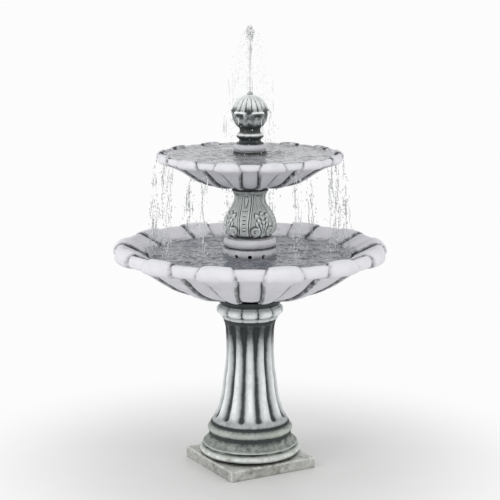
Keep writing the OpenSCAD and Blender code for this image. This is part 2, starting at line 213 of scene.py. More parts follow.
def turned_stone(name, profile, inner, angles, relief=None, marks=None, z=0.0, weather=0.25, seed=1,
                 bearing=None, lean=None):
    """A stone turned from its outline, where share runs from 0 to 1. relief(theta, r, z, share) gives mm outwards.
    marks(theta, r, z, share, hollow) gives its stains and painted shade, its edge wear and painted highlights, and
    its wet places.
    The outline closes through the rough `inner` points, or at the axis where it begins and ends there.
    bearing(theta, r, share) bends the pattern sideways, and lean(share) takes height out of the relief."""
    rings, around = len(profile), len(angles)
    theta = np.broadcast_to(angles[None, :], (rings, around))
    r = np.broadcast_to(profile[:, :1], (rings, around))
    height = np.broadcast_to(profile[:, 1:], (rings, around))
    share = np.broadcast_to(np.linspace(0, 1, rings)[:, None], (rings, around))
    normal = outward(profile)
    turned = theta if bearing is None else bearing(theta, r, share)
    normals = np.stack([normal[:, :1] * np.cos(turned), normal[:, :1] * np.sin(turned),
                        np.broadcast_to(normal[:, 1:], (rings, around))], axis=-1)
    grid = around_axis(turned, r, height + z)
    push = np.zeros((rings, around))
    if relief is not None:
        push = push + relief(theta, r, height, share)
    push = push + weather * waves(grid, 55, seed) + 0.4 * weather * waves(grid, 14, seed + 50)
    calm = smooth(0, 4, np.minimum(np.arange(rings), np.arange(rings)[::-1]))[:, None] if inner else 1
    on_axis = smooth(1, 12, r)
    way = normals
    if lean is not None:
        way = normals * np.stack([np.ones_like(r), np.ones_like(r), lean(share)], axis=-1)
    grid = grid + way * (push * calm * on_axis)[..., None]
    values = {mark: np.zeros((rings, around)) for mark in ("stain_and_shade", "edge", "wet")}
    if marks is not None:
        values.update(marks(theta, r, height, share, hollow_depth(grid, normals, 8)))
    vertices = grid.reshape(-1, 3)
    if inner:
        closing = np.stack([around_axis(angles, p[0], p[1] + z) for p in inner])
        vertices = np.concatenate([vertices, closing.reshape(-1, 3)])
        rings += len(inner)
        values = {k: np.concatenate([v, np.full((len(inner), around), 0.35 if k == "stain_and_shade" else 0.0)])
                  for k, v in values.items()}
    obj = new_object(name, vertices, grid_faces(rings, around, bool(inner)))
    set_marks(obj, values)
    tidy_mesh(obj)
    return obj


def even_angles(count):
    return FRONT + np.arange(count) * 2 * math.pi / count


def lobe_angles():
    """Angles round a lobed bowl, closer together where the walls of the lobes stand"""
    half = [0, 0.16, 0.29, 0.36, 0.395, 0.4175, 0.435, 0.4525, 0.47, 0.4825, 0.4975, 0.53, 0.62, 0.78]
    period = half + [1] + [2 - u for u in reversed(half[1:])]
    step = math.pi / LOBES
    return np.array([FRONT + (2 * k + u) * step for k in range(LOBES) for u in period])


def carve(obj, solids):
    """Cuts closed solids, given in mm, out of a stone"""
    cutter = joined("cutter", solids)
    tidy_mesh(cutter)
    modifier = obj.modifiers.new("cut", "BOOLEAN")
    modifier.operation = "DIFFERENCE"
    modifier.solver = "EXACT"
    modifier.object = cutter
    bpy.context.view_layer.objects.active = obj
    bpy.ops.object.modifier_apply(modifier=modifier.name)
    bpy.data.objects.remove(cutter, do_unlink=True)


def prism(points, z0, z1):
    """A solid with the given plan between two heights"""
    n = len(points)
    vertices = [(x, y, z0) for x, y in points] + [(x, y, z1) for x, y in points]
    faces = [tuple(reversed(range(n))), tuple(range(n, 2 * n))]
    faces += [(i, (i + 1) % n, n + (i + 1) % n, n + i) for i in range(n)]
    return vertices, faces


def swung(points, turn):
    """Points turned about the fountain's axis"""
    cos, sin = math.cos(turn), math.sin(turn)
    return [(x * cos - y * sin, x * sin + y * cos, z) for x, y, z in points]


def joined(name, solids, scale=0.001):
    vertices, faces = [], []
    for v, f in solids:
        faces += [tuple(len(vertices) + i for i in face) for face in f]
        vertices += list(v)
    return new_object(name, vertices, faces, scale)


def place(obj, body, slot, material, *nodes):
    obj.data.materials.append(material)
    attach(obj, body)
    if nodes:
        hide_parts(*nodes)
    return obj


# ---- Materials ----

class Shader:
    """A short way to wire up one Principled material"""

    def __init__(self, name):
        self.material = bpy.data.materials.new(name)
        self.material.use_nodes = True
        self.tree = self.material.node_tree
        self.out = self.tree.nodes["Principled BSDF"]
        self.place = self.node("ShaderNodeTexCoord").outputs["Object"]

    def node(self, kind, **settings):
        node = self.tree.nodes.new(kind)
        for key, value in settings.items():
            setattr(node, key, value)
        return node

    def plug(self, socket, value):
        if isinstance(value, bpy.types.NodeSocket):
            self.tree.links.new(value, socket)
        elif isinstance(value, (tuple, list)) and len(value) == 3 and socket.type == "RGBA":
            socket.default_value = (*value, 1)
        else:
            socket.default_value = value

    def fill(self, node, settings):
        for key, value in settings.items():
            self.plug(node.inputs[key], value)

    def noise(self, scale, detail=4.0, rough=0.55, stretch=None):
        node = self.node("ShaderNodeTexNoise")
        where = self.place
        if stretch:
            mapping = self.node("ShaderNodeMapping")
            self.fill(mapping, {"Vector": self.place, "Scale": stretch})
            where = mapping.outputs["Vector"]
        self.fill(node, {"Vector": where, "Scale": scale, "Detail": detail, "Roughness": rough})
        return node.outputs["Fac"]

    def cells(self, scale):
        node = self.node("ShaderNodeTexVoronoi")
        self.fill(node, {"Vector": self.place, "Scale": scale})
        return node.outputs["Distance"]

    def ramp(self, value, low, high, a=0.0, b=1.0):
        node = self.node("ShaderNodeMapRange", interpolation_type="SMOOTHSTEP")
        self.fill(node, {"Value": value, "From Min": low, "From Max": high, "To Min": a, "To Max": b})
        return node.outputs["Result"]

    def sums(self, operation, a, b):
        node = self.node("ShaderNodeMath", operation=operation, use_clamp=operation == "ADD")
        self.fill(node, {0: a, 1: b})
        return node.outputs["Value"]

    def mix(self, share, a, b, blend="MIX"):
        node = self.node("ShaderNodeMix", data_type="RGBA", blend_type=blend)
        self.fill(node, {0: share, 6: a, 7: b})
        return node.outputs[2]

    def mark(self, name):
        return self.node("ShaderNodeAttribute", attribute_name=name).outputs["Fac"]

    def bump(self, height, distance, strength=1.0):
        node = self.node("ShaderNodeBump")
        self.fill(node, {"Height": height, "Distance": distance, "Strength": strength})
        self.plug(self.out.inputs["Normal"], node.outputs["Normal"])

    def set(self, **values):
        for key, value in values.items():
            self.plug(self.out.inputs[key.replace("_", " ")], value)
        return self.material


def scaled(color, factor):
    return tuple(min(c * factor, 1.0) for c in color)


def stone_material(name, color, patina_and_shade, bright, roughness=0.62, mottle=0.16, streaks=0.5, pits=1.0, moss=None,
                   moss_amount=0.0, ragged=0.16):
    """Cast stone with an antique-washed finish: pale body, a dark tone where the meshes mark weathered hollows and
    painted shade, a light tone where they mark edge wear and painted highlights, fine grain
    """
    s = Shader(name)
    clouds = s.ramp(s.noise(9, 5, 0.6), 0.32, 0.68)
    body = s.mix(clouds, scaled(color, 1 - mottle), scaled(color, 1 + mottle * 0.6))
    runs = s.ramp(s.noise(1, 5, 0.6, stretch=(46, 46, 5)), 0.42, 0.72, 0.0, streaks)
    body = s.mix(runs, body, scaled(color, 0.72))
    grain = s.ramp(s.noise(420, 6, 0.7), 0.3, 0.7, 0.9, 1.06)
    body = s.mix(1.0, body, s.mix(grain, (0.88, 0.88, 0.89), (1.0, 1.0, 1.0)), "MULTIPLY")
    if moss:
        moss_share = s.ramp(s.noise(22, 6, 0.65), 0.5, 0.72, 0.0, moss_amount)
        body = s.mix(moss_share, body, moss)
    jitter = s.ramp(s.noise(70, 6, 0.65), 0.3, 0.7, -ragged, ragged)
    soft_jitter = s.sums("MULTIPLY", jitter, s.ramp(s.mark("stain_and_shade"), 0.02, 0.35))
    # the dark tone laid on here is real patina and also painted shade
    wash_and_shade = s.ramp(s.sums("ADD", s.mark("stain_and_shade"), soft_jitter), 0.03, 0.97)
    body = s.mix(wash_and_shade, body, patina_and_shade)
    # the light tone laid on here is edge wear and also painted highlights
    wear_and_highlight = s.sums("MULTIPLY", s.mark("edge"), s.ramp(s.noise(55, 5, 0.6), 0.3, 0.6, 0.35, 1.0))
    body = s.mix(wear_and_highlight, body, bright)
    wet = s.mark("wet")
    body = s.mix(s.sums("MULTIPLY", wet, 0.75), body, scaled(patina_and_shade, 1.7))
    pinholes = s.ramp(s.cells(260), 0.10, 0.26, 0.0, 1.0)
    pin_share = s.ramp(s.noise(38, 3), 0.5, 0.62, 0.0, 0.45 * pits)
    height = s.sums("SUBTRACT", s.sums("MULTIPLY", s.noise(300, 7, 0.7), 0.55),
                    s.sums("MULTIPLY", s.sums("SUBTRACT", 1.0, pinholes), pin_share))
    s.bump(height, 0.0007, 0.75)
    rough = s.ramp(s.noise(120, 4), 0.3, 0.7, roughness - 0.08, roughness + 0.1)
    rough = s.sums("SUBTRACT", rough, s.sums("MULTIPLY", wet, 0.42))
    return s.set(Base_Color=body, Roughness=rough, Specular_IOR_Level=0.42)


def made_material(name, color, roughness, metallic=0.0, grain=300, depth=0.0002, wear=0.12, coat=0.0,
                  transmission=0.0, ior=1.45, stretch=None):
    """Plastic, rubber, metal or foam: slightly uneven colour and gloss over a fine surface"""
    s = Shader(name)
    patches = s.ramp(s.noise(35, 5, 0.6), 0.3, 0.7)
    fine = s.noise(grain, 5, 0.6, stretch)
    tone = s.mix(patches, scaled(color, 1 - wear), scaled(color, 1 + wear))
    tone = s.mix(s.ramp(fine, 0.55, 0.8, 0.0, 0.35), tone, scaled(color, 0.6))
    s.bump(fine, depth, 0.6)
    rough = s.ramp(s.noise(90, 4), 0.3, 0.7, roughness * 0.8, min(roughness * 1.25, 1))
    return s.set(Base_Color=tone, Roughness=rough, Metallic=metallic, Coat_Weight=coat,
                 Transmission_Weight=transmission, IOR=ior)


def water_material(name, tint, transmission, ripple, depth):
    s = Shader(name)
    streaky = s.noise(1, 5, 0.6, stretch=ripple)
    # light and dark streaks in the water's colour are painted reflections of the ripples
    tone = s.mix(s.ramp(streaky, 0.35, 0.7), scaled(tint, 0.72), scaled(tint, 1.15))
    s.bump(streaky, depth, 0.7)
    return s.set(Base_Color=tone, Roughness=s.ramp(s.noise(40), 0.3, 0.7, 0.02, 0.07),
                 Transmission_Weight=transmission, IOR=1.33)


# dark tone for patina and for painted shade
PATINA_AND_SHADE = (0.028, 0.034, 0.034)
bowl_stone = stone_material("bowl_stone", (0.64, 0.64, 0.675), (0.05, 0.055, 0.056), (0.74, 0.74, 0.76),
                            streaks=0.16, mottle=0.07)
pedestal_stone = stone_material("pedestal_stone", (0.60, 0.63, 0.635), PATINA_AND_SHADE, (0.90, 0.92, 0.92),
                                streaks=0.15, mottle=0.06, ragged=0.07)
base_stone = stone_material("base_stone", (0.39, 0.42, 0.385), PATINA_AND_SHADE, (0.86, 0.88, 0.86), streaks=0.2,
                            moss=(0.30, 0.31, 0.22), moss_amount=0.6)
plinth_stone = stone_material("plinth_stone", (0.52, 0.53, 0.50), (0.12, 0.12, 0.10), (0.72, 0.73, 0.70),
                              mottle=0.28, streaks=0.1, pits=2.0, moss=(0.20, 0.20, 0.14), moss_amount=0.7)
riser_stone = stone_material("riser_stone", (0.63, 0.63, 0.66), (0.05, 0.052, 0.055), (0.70, 0.70, 0.73),
                             mottle=0.14, streaks=0.3)
baluster_stone = stone_material("baluster_stone", (0.49, 0.52, 0.505), (0.045, 0.05, 0.05),
                                (0.88, 0.90, 0.89), streaks=0.25)
finial_stone = stone_material("finial_stone", (0.60, 0.64, 0.63), (0.022, 0.027, 0.026), (0.92, 0.94, 0.93),
                              roughness=0.5, streaks=0.2)

# ---- Pedestal ----

def chipped_plinth():
    """A square slab with chipped, weathered edges, the cord's pocket and the groove that leads it out"""
    half, thick = PLINTH_HALF, top("plinth")
    square = [(-half, -half), (half, -half), (half, half), (-half, half)]
    slab = joined("plinth_slab", [prism(square, 0, thick)])
    tidy_mesh(slab)
    pocket_floor = thick - 20
    groove = [(-12, 0), (12, 0), (12, half + 5), (-12, half + 5)]
    for plan in (circle(CABLE_WAY_R, 96), groove):
        carve(slab, [prism(plan, pocket_floor, thick + 5)])
    remesh = slab.modifiers.new("remesh", "REMESH")
    remesh.mode = "VOXEL"
    remesh.voxel_size = 0.0026
    bpy.context.view_layer.objects.active = slab
    bpy.ops.object.modifier_apply(modifier=remesh.name)
    mesh = slab.data
    co = 1000 * vertices_of(mesh)
    across = half - np.abs(co[:, :2])
    distances = np.sort(np.stack([across[:, 0], across[:, 1], thick - co[:, 2]], axis=1), axis=1)
    near = np.hypot(distances[:, 0], distances[:, 1])
    chip = np.clip(waves(co, 26, 3) * 0.8 + 0.7 * waves(co, 9, 4), 0, 2.2)
    bite = (1.4 + 2.6 * chip) * (1 - smooth(0, 11, near)) * smooth(0, 6, co[:, 2])
    rough = 0.35 * waves(co, 16, 5) + 0.25 * waves(co, 6, 6)
    corner = np.sort(np.abs(co[:, :2]), axis=1)
    inward = -np.sign(co[:, :2]) * (np.abs(co[:, :2]) > half - 14)
    co[:, :2] += inward * (bite + 0.5 * rough)[:, None] * 0.7
    co[:, 2] -= np.where(thick - co[:, 2] < 12, bite * 0.8, 0)
    co[:, 2] += np.where(thick - co[:, 2] < 1.5, np.minimum(rough, 0), 0) * (corner[:, 0] > 0)
    co[:, 2] = np.clip(co[:, 2], 0, thick)
    co[:, :2] = np.clip(co[:, :2], -half, half)
    mesh.vertices.foreach_set("co", (co / 1000).ravel())
    dirt = 0.30 + 0.3 * waves(co, 60, 7) + 0.2 * waves(co, 18, 8)
    # the slab's sides get a darker value than its top
    side = np.minimum(across[:, 0], across[:, 1]) < 3
    # painted contact shadow in a ring where the base moulding stands on the slab
    contact_shadow = bell(np.hypot(co[:, 0], co[:, 1]) - 155, 12) * (thick - co[:, 2] < 3)
    edge = (1 - smooth(1, 8, near)) * np.clip(0.8 - 0.45 * chip, 0, 1)
    set_marks(slab, {"stain_and_shade": np.where(side, 0.18, 0.06) + 0.35 * np.clip(dirt, 0, 1) + 0.55 * contact_shadow,
                     "edge": edge, "wet": np.zeros(len(co))})
    mesh.polygons.foreach_set("use_smooth", [True] * len(mesh.polygons))
    slab.name = "plinth_stone_slab"
    return slab


place(chipped_plinth(), "pedestal", "plinth_stone", plinth_stone, "plinth")


def moulding_marks(theta, r, z, *_):
    """Dark joints at the seams; painted shade under the upper torus, in the scotia and over the upper part; a
    painted contact shadow under the lower torus; painted highlights on both tori and the scotia's lower edge
    """
    spots = waves(around_axis(theta, r, z), 30, 21)
    seams = bell(z - 34, 4.5) * (0.72 + 0.3 * spots) + 0.95 * bell(z - 111, 8) + 0.9 * bell(z - 77, 6)
    scotia = (0.34 + 0.4 * smooth(46, 74, z + 3 * spots)) * smooth(40, 44, z) * (1 - smooth(76, 82, z))
    body = 0.2 * smooth(76, 84, z) + 0.14 * bell(z - 47, 6)
    # painted contact shadow under the lower torus, where it meets the plinth
    under = 0.97 * (1 - smooth(5, 14, z))
    # light bands on the lower torus, the scotia's edge and the upper torus: painted highlights
    wear_and_highlight = bell(z - 40.5, 2.2) * 0.4 + 0.95 * bell(z - 20, 7) + 0.2 * bell(z - 92, 7)
    return {"stain_and_shade": seams + scotia + body + under, "edge": wear_and_highlight * (0.8 + 0.2 * spots)}


def base_moulding():
    r = 168
    profile = [(r - 30, 0), (r - 20, 0), (r - 18, 5)] + arc(r - 12, 19, 11.5, -80, 88, 16)
    profile += [(r - 17, 30.5), (r - 19, 33), (r - 18, 36.5), (r - 10, 38), (r - 9, 40), (r - 10, 42.5)]
    profile += bezier((r - 14, 45), (r - 26, 51), (r - 31, 63), (r - 30.5, 76))
    profile += arc(r - 38, 90, 12, -58, 80, 12) + [(r - 36, 104), (r - 37, 111), (r - 50, 111)]
    return turned_stone("base_moulding_stone", outline(profile, 1.3, 1.0),
                        [(CABLE_WAY_R, 111), (CABLE_WAY_R, 0)], even_angles(360), marks=moulding_marks,
                        z=foot("base_moulding"), weather=0.3, seed=11)


place(base_moulding(), "pedestal", "pedestal_stone", base_stone, "base_moulding")

COLUMN_H = tall("column")
FLUTE_FOOT, FLUTE_HEAD = 14, COLUMN_H - 12
FLUTE_DEPTH = 10.5
PITCH = 2 * math.pi / FLUTES


def flute_share(theta, r, z):
    """0 on a rib, 1 along the middle of a flute, with round ends"""
    across = np.abs(wrap(theta - FRONT - PITCH / 2, PITCH)) * r
    half = 0.345 * PITCH * r
    end = np.clip(np.minimum(z - FLUTE_FOOT, FLUTE_HEAD - z), 0, None)
    narrow = np.sqrt(np.clip(1 - (1 - np.clip(end / (half * 1.2), 0, 1)) ** 2, 0, 1))
    width = np.maximum(half * narrow, 0.01)
    return np.where(end > 0, np.clip(1 - (across / width) ** 2, 0, 1) ** 1.1, 0) * smooth(0, 12, end)


def column_relief(theta, r, z, *_):
    rib = np.abs(wrap(theta - FRONT, PITCH)) / (PITCH / 2)
    body = smooth(FLUTE_FOOT, FLUTE_FOOT + 24, z) * (1 - smooth(FLUTE_HEAD - 20, FLUTE_HEAD, z))
    return -FLUTE_DEPTH * flute_share(theta, r, z) - 1.2 * rib ** 2 * body


def column_marks(theta, r, z, *_):
    deep = flute_share(theta, r, z)
    spots = waves(around_axis(theta, r, z * 0.3), 22, 31)
    side = np.abs(wrap(theta - FRONT - PITCH / 2, PITCH)) / (PITCH / 2)
    body = smooth(FLUTE_FOOT, FLUTE_FOOT + 26, z)
    # painted shade: dark flute cores fading to lighter rib centres
    flute = np.maximum(0.95 * deep ** 2, body * (1 - smooth(0.0, 0.72, side)) * 0.85)
    # painted shade: the head darker under the collar, the upper half a little darker under the bowl
    head = 0.3 * smooth(COLUMN_H - 140, COLUMN_H - 60, z) + 0.42 * smooth(COLUMN_H - 84, COLUMN_H - 28, z)
    seam = 0.95 * bell(z, 4.5) + 0.95 * bell(z - COLUMN_H, 5)
    apron = 0.42 * (1 - smooth(16, 44, z))
    upper = 0.1 * smooth(COLUMN_H * 0.5, COLUMN_H * 0.92, z)
    rib = smooth(0.45, 0.95, side)
    # painted highlight along the rib centres, fading out towards the top
    lit = rib * (1.0 - smooth(COLUMN_H * 0.4, COLUMN_H * 0.84, z)) * smooth(20, 60, z)
    return {"stain_and_shade": flute + head + seam + apron + upper + 0.03 * spots, "edge": 0.9 * lit}


def column():
    side = bezier((130, 0), (122, 14), (98, 60), (91, 125)) + bezier((87, 160), (79, 200), (76, 275),
                                                                  (82, COLUMN_H - 25))
    profile = [(100, 0)] + side + [(85, COLUMN_H - 12), (89, COLUMN_H), (70, COLUMN_H)]
    return turned_stone("column_shaft", outline(profile, 2.0, 2.0),
                        [(CABLE_WAY_R, COLUMN_H), (CABLE_WAY_R, 0)], even_angles(432),
                        column_relief, column_marks, foot("column"), 0.25, 12)


place(column(), "pedestal", "pedestal_stone", pedestal_stone, "column")

BEAD_MIDDLE = 31


def bead_gap(theta):
    """Distance in degrees from the nearest gap between two beads"""
    return np.degrees(np.abs(wrap(theta - FRONT - PITCH / 2, PITCH)))


def collar_relief(theta, r, z, *_):
    on_bead = smooth(12, 20, z) * (1 - smooth(42, 50, z)) * smooth(84, 96, r)
    gap = bead_gap(theta)
    return -on_bead * (7.0 * bell(gap, 1.6) + 2.6 * (1 - smooth(0, 9, gap)))


def collar_marks(theta, r, z, *_):
    outside = smooth(80, 88, r)
    on_bead = bell(z - BEAD_MIDDLE, 15) ** 2
    # painted shade in the fillet line under the beads and at the foot, in the cavetto under the bowl and in the
    # gaps between beads
    lines = 0.9 * bell(z - 15.5, 2.2) + 0.95 * bell(z + 0.5, 4.5)
    cavetto_shade = 0.93 * smooth(46, 51, z)
    gap = bead_gap(theta)
    gaps = 0.9 * bell(gap, 1.5) * (0.3 + 0.7 * on_bead)
    rim = 0.16 * (1 - smooth(0, 7, gap)) + 0.2 * bell(z - 47, 3)
    # painted highlight down the middle of each bead and along the lower round
    bead_highlight = on_bead * smooth(3, 9, gap) + 0.15 * bell(z - 8, 3)
    return {"stain_and_shade": (lines + cavetto_shade + gaps + rim) * outside, "edge": 0.9 * bead_highlight}


def collar():
    h = tall("column_collar") - 8
    profile = [(70, 0), (88, 0)] + arc(86, 7, 7, -55, 62, 8) + arc(94, BEAD_MIDDLE, 17, -75, 80, 20, 15.5)
    profile += bezier((97, 50), (100, 56), (110, 63), (120, h - 1)) + [(120, h), (90, h)]
    return turned_stone("column_collar_stone", outline(profile, 1.2, 0.9),
                        [(75, h), (75, h + 8), (CABLE_WAY_R, h + 8), (CABLE_WAY_R, 0)], even_angles(432),
                        collar_relief, collar_marks, foot("column_collar"), 0.2, 13)


place(collar(), "pedestal", "pedestal_stone", pedestal_stone, "column_collar")


# ---- Bowls ----

def lobe_place(theta):
    """0 in the middle of a recessed lobe, 1 in the middle of a raised one"""
    return np.abs(wrap(theta - FRONT, 2 * math.pi / LOBES)) * LOBES / math.pi


CREASE, WALL_TOP = 0.435, 0.495     # where the wall between two lobes starts and ends, as lobe_place() counts


def recess(u):
    return 1 - smooth(CREASE, WALL_TOP, u)


def lobe_bearing(under_end, lip_end):
    """Where the walls of the lobes run: wide apart at the foot, closer under the rim, wider again inside"""
    def bearing(theta, r, share):
        step = math.pi / LOBES
        offset = wrap(theta - FRONT, 2 * step) / step
        u = np.abs(offset)
        places = [0, 0.10, 0.6 * under_end, under_end - 0.02, under_end + 0.02,
                  lip_end - 0.04, lip_end + 0.04, 1]
        crease = np.interp(share, places, [0.74, 0.74, 0.56, 0.40, 0.35, 0.37, 0.55, 0.55])
        wall = np.where(share < under_end, np.clip(8 / (r * step + 0.001), 0, 0.2), 0)
        wall = np.maximum(wall, np.interp(share, places, [0.06, 0.06, 0.06, 0.07, 0.16, 0.13, 0.06, 0.05]))
        low = u * crease / CREASE
        middle = crease + (u - CREASE) / (WALL_TOP - CREASE) * wall
        high = crease + wall + (u - WALL_TOP) / (1 - WALL_TOP) * (1 - crease - wall)
        moved = np.where(u < CREASE, low, np.where(u < WALL_TOP, middle, high))
        return theta + (np.sign(offset) * moved - offset) * step
    return bearing


def crest_lean(under_end, lip_end, keep=0.5):
    """On the crest of the rim the lobes differ in reach more than in height"""
    def lean(share):
        return 1 - (1 - keep) * smooth(under_end + 0.02, under_end + 0.05, share) * (
            1 - smooth(lip_end, lip_end + 0.04, share))
    return lean


def bowl_relief(depth_points):
    """How a bowl's lobes stand in and out. depth_points pair a share of the outline with a recess's depth."""
    def relief(theta, _r, _z, share):
        u = lobe_place(theta)
        depth = np.interp(share, [p[0] for p in depth_points], [p[1] for p in depth_points])
        bulge = np.where(u > WALL_TOP, -3.0 * ((1 - u) / 0.5) ** 2, -3.0 * (u / WALL_TOP) ** 2)
        groove = -2.0 * bell(u - CREASE, 0.022)
        return -depth * recess(u) + (bulge + groove) * np.clip(depth / 6, 0, 1)
    return relief


def bowl_marks(under_end, lip_end, water_z, foot_r, seed):
    def marks(theta, r, z, share, _hollow):
        u = lobe_place(theta)
        here = around_axis(theta, r, z)
        spots, fine = waves(here, 60, seed), waves(here, 18, seed + 1)
        under = 1 - smooth(under_end - 0.03, under_end + 0.01, share)
        inside = smooth(lip_end - 0.02, lip_end + 0.03, share)
        rim = np.clip(1 - under - inside, 0, 1)
        wall = smooth(CREASE - 0.01, CREASE + 0.02, u) * (1 - smooth(WALL_TOP - 0.02, WALL_TOP + 0.01, u))
        # painted shade: a dark line and a soft halo along each crease, the walls between lobes, and a line below
        # the wall tops on the underside
        crease_shade = bell(u - CREASE - 0.003, 0.019) * (0.82 + 0.15 * fine)
        halo = 0.25 * bell(u - CREASE, 0.1) * under + 0.12 * bell(u - CREASE, 0.08) * inside
        shaded = wall * (0.34 + 0.1 * fine) + 0.6 * bell(u - WALL_TOP - 0.03, 0.05) * under
        stain_and_shade = (crease_shade + shaded) * (0.8 * under + 0.55 * rim + 0.85 * inside) + halo
        # painted shade under the foot, where the bowl sits on its seat, and a faint dark line where the underside
        # meets the rim
        foot_shade = 0.9 * (1 - smooth(foot_r - 6, foot_r + 3, r)) * under
        line = 0.2 * bell(share - under_end, 0.005)
        tide = 0.4 * bell(z - water_z - 6, 6) * inside * (0.8 + 0.3 * fine)
        slope = (0.10 + 0.05 * spots) * inside
        lower = (1 - smooth(water_z - 8, water_z + 3, z)) * inside
        # painted highlight on the top of the rim
        bright = rim * (0.42 + 0.1 * spots)
        return {"stain_and_shade": stain_and_shade + foot_shade + line + tide + slope + 0.45 * lower,
                "edge": bright * (1 - wall), "wet": lower}
    return marks


def lift_foot(obj, foot_z, foot_r, lift, reach):
    """Raises the foot of each recessed lobe into a low arch, and rounds the lower ends of the raised ones"""
    mesh = obj.data
    co = vertices_of(mesh)
    r = 1000 * np.hypot(co[:, 0], co[:, 1])
    z = 1000 * co[:, 2] - foot_z
    u = lobe_place(np.arctan2(co[:, 1], co[:, 0]))
    near = smooth(foot_r - 4, foot_r - 0.5, r) * (1 - smooth(foot_r + 2, foot_r + reach, r)) * (z < 60)
    arch = lift * np.clip(1 - (u / 0.74) ** 2, 0, 1) ** 0.5
    co[:, 2] += near * arch / 1000
    mesh.vertices.foreach_set("co", co.ravel())


def lower_bowl():
    base, foot_r, ends = foot("lower_bowl"), 125, (0.415, 0.535)
    hub = [(0, 10), (76, 10), (76, 0.4), (121, 0.4), (126, 2)]
    under = bezier((128, 5), (300, 21), (331, 109), (419, 131), 20)
    lip = [(440, 135), (451, 141), (455, 150), (453, 162), (447, 172), (438, 179), (426, 183), (413, 184.3),
           (400, 180), (376, 168), (350, 155), (335, 146)]
    inside = [(317, 123), (287, 99), (238, 77), (175, 58), (130, 50), (0, 50)]
    fine = outline(hub + under + lip + inside, 5.0, 3.4)
    depth = [(0, 0), (0.10, 0), (0.125, 6), (0.2, 8), (0.35, 8), (0.42, 10), (0.455, 12), (0.49, 11),
             (0.53, 11), (0.6, 10), (0.66, 7), (0.72, 3), (0.77, 0), (1, 0)]
    bowl = turned_stone("lower_bowl_stone", fine, [], lobe_angles(),
                        bowl_relief(depth), bowl_marks(*ends, Z_WATER - base, foot_r, 41), base, 0.35, 14,
                        lobe_bearing(*ends), crest_lean(*ends))
    lift_foot(bowl, base, foot_r, 7, 26)
    y = 500 * (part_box("drain_stopper")[0].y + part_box("drain_stopper")[1].y)
    carve(bowl, [prism(circle(DRAIN_R, 48, y), base - 5, Z_FLOOR + 5)])
    return bowl


def upper_bowl():
    foot_r, ends = 80, (0.395, 0.51)
    hub = [(33, 0.4), (74, 0.4), (81, 1.5)]
    under = bezier((84, 1.5), (193, 1), (208, 57), (279, 77.5), 16)
    lip = [(296, 82), (305, 87), (309, 94), (307, 104), (301, 110), (291, 114), (284, 113.5), (276, 108.5)]
    inside = [(262, 94), (234, 79), (179, 57), (112, 38), (96, 36), (12, 36)]
    fine = outline(hub + under + lip + inside, 3.4, 2.6)
    depth = [(0, 0), (0.07, 0), (0.09, 5), (0.2, 6.5), (0.36, 6.5), (0.405, 8), (0.435, 9.5), (0.47, 8.5),
             (0.5, 8.5), (0.55, 6), (0.6, 0), (1, 0)]
    closing = [(10.4, 36), (10.4, 8), (33, 8)]
    bowl = turned_stone("upper_bowl_stone", fine, closing, lobe_angles(), bowl_relief(depth),
                        bowl_marks(*ends, Z_TIER_WATER - Z_TIER, foot_r, 43), Z_TIER, 0.3, 15,
                        lobe_bearing(*ends), crest_lean(*ends))
    lift_foot(bowl, Z_TIER, foot_r, 6, 22)
    return bowl


place(lower_bowl(), "lower_basin", "bowl_stone", bowl_stone, "lower_bowl")
place(upper_bowl(), "upper_tier", "bowl_stone", bowl_stone, "upper_bowl")


# ---- Riser ----

def drum_marks(theta, r, z, *_):
    height = Z_WATER - Z_FLOOR
    spots = waves(around_axis(theta, r, z * 0.5), 24, 51)
    tide = 1 - smooth(height - 3, height + 13, z)
    seam = 0.85 * bell(z - tall("riser_drum"), 3)
    return {"stain_and_shade": 0.35 * tide * (0.8 + 0.3 * spots) + seam, "wet": 0.9 * tide, "edge": 0.2 * (1 - tide)}


def riser_drum():
    h = tall("riser_drum")
    wall = 15
    profile = [(80, 0), (88, 0), (89, 1), (89, h - 2), (87.5, h), (80, h)]
    drum = turned_stone("riser_drum_stone", outline(profile, 1.6, 1.2), [(89 - wall, h), (89 - wall, 0)],
                        even_angles(240), marks=drum_marks, z=Z_FLOOR, weather=0.25, seed=16)
    slots = []
    for k in range(DRUM_SLOTS):
        turn = FRONT + k * 2 * math.pi / DRUM_SLOTS
        slot_z, slot_h, slot_r = Z_WATER - 28, 30, 7
        shape = [(-slot_r, slot_z), (slot_r, slot_z)]
        shape += [(slot_r * math.cos(a), slot_z + slot_h + slot_r * math.sin(a))
                  for a in np.linspace(0, math.pi, 13)]
        solid, faces = prism(shape, 60, 100)
        slots.append((swung([(d, w, z) for w, z, d in solid], turn), faces))
    carve(drum, slots)
    return drum


place(riser_drum(), "riser", "riser_stone", riser_stone, "riser_drum")


def ring_marks(_theta, r, z, *_):
    h = tall("riser_ring")
    outer = smooth(60, 70, r)
    # painted shade: the underside dark where the ring sits on the drum and a dark band on the top; a painted
    # highlight band round the ring's middle
    seat = 0.5 * bell(r - 80, 5) * (z > h - 3)
    return {"stain_and_shade": outer * (0.95 * bell(z, 3.2) + 0.25 * bell(z - h, 3)) + seat,
            "edge": outer * 0.45 * bell(z - 0.55 * h, 9)}


def riser_ring():
    h = tall("riser_ring")
    profile = [(50, 0), (70, 0)] + arc(70, h / 2, h / 2, -90, 90, 20) + [(50, h)]
    return turned_stone("riser_ring_stone", outline(profile, 1.4, 0.8), [(24, h), (24, 0)], even_angles(288),
                        marks=ring_marks, z=foot("riser_ring"), weather=0.25, seed=17)


place(riser_ring(), "riser", "riser_stone", riser_stone, "riser_ring")

VOLUTE_OFFSET, VOLUTE_Z, VOLUTE_R = 28, 25, 13.5
STRAP = FRONT - math.radians(13.6)
PANEL = FRONT + math.radians(31.4)
QUARTER = math.pi / 2


